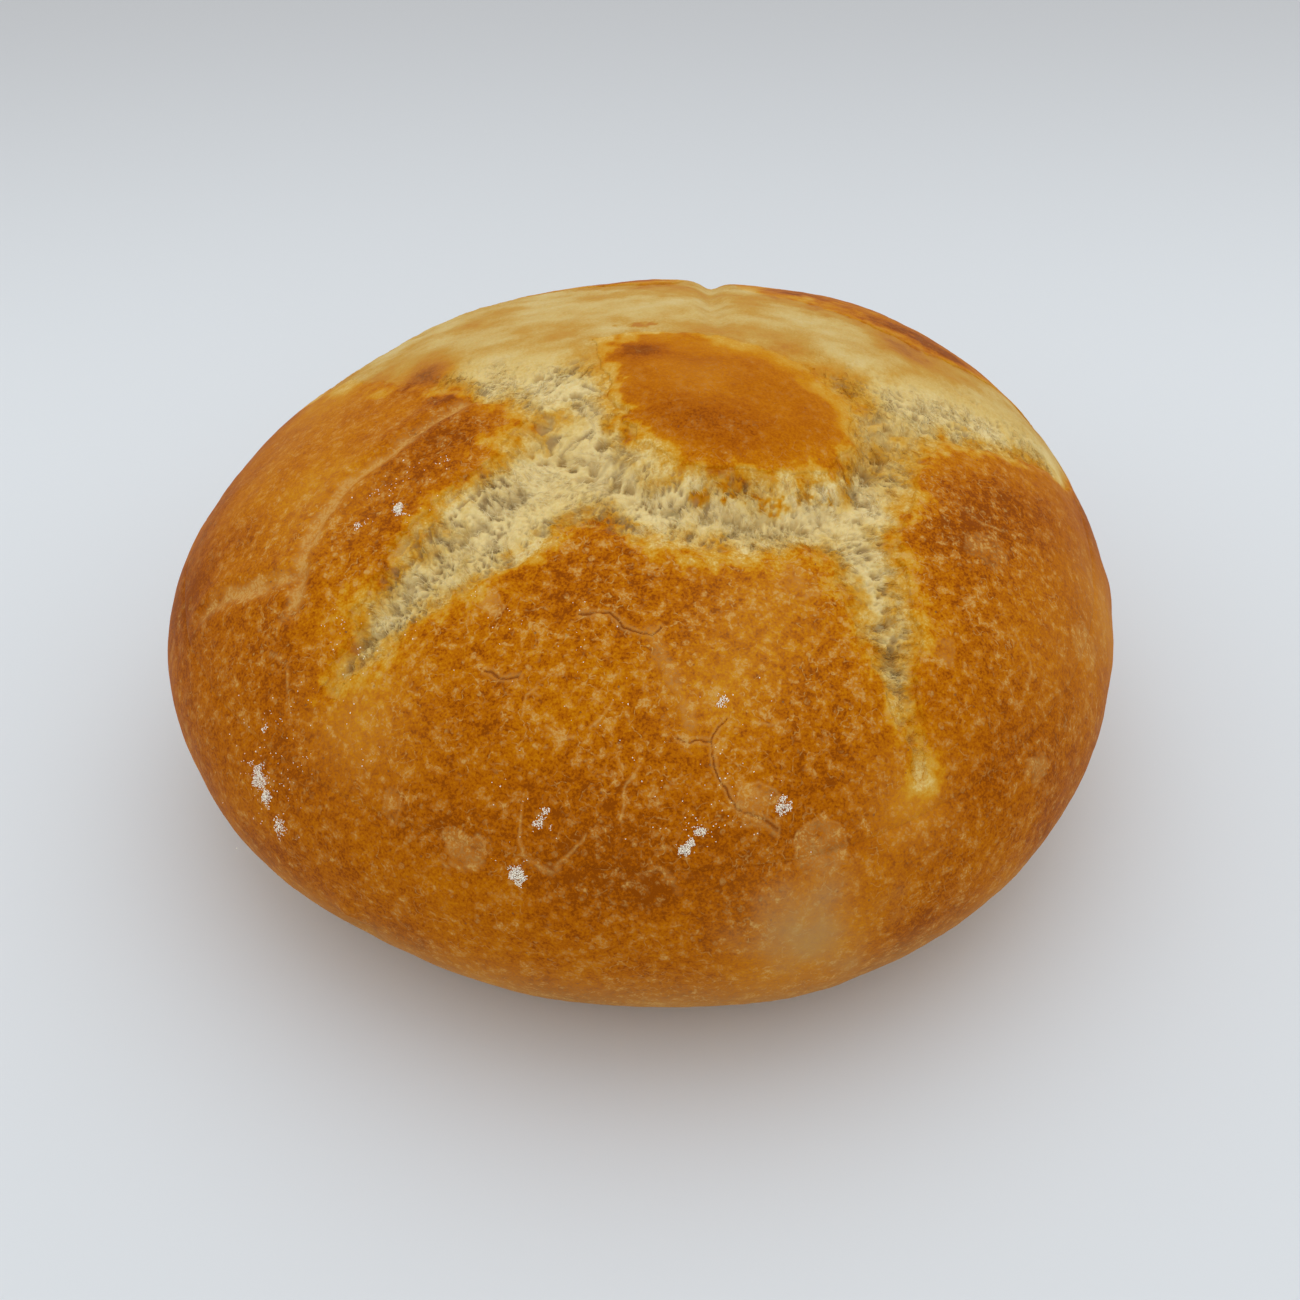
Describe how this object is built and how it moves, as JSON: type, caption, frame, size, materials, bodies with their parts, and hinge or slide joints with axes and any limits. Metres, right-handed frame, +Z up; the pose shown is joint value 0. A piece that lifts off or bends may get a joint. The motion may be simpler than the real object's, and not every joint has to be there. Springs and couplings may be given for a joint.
{
  "type": "bread roll",
  "caption": "Round crusty bread roll with a star torn open in its golden crust around a browned island, pale crumb showing in the torn arms, standing on a flat base.",
  "frame": {"origin": "centre of the flat base, on the surface the roll rests on", "axes": "+Z up through the torn star, +X along the roll's longest side, -Y the side with the broad unbroken front lobe"},
  "size_m": [0.11, 0.106, 0.055],
  "materials": {
    "crust": "satin",
    "crumb": "matte",
    "flour": "matte"
  },
  "bodies": {
    "root": {"bread_roll": "crust"}
  },
  "joints": []
}
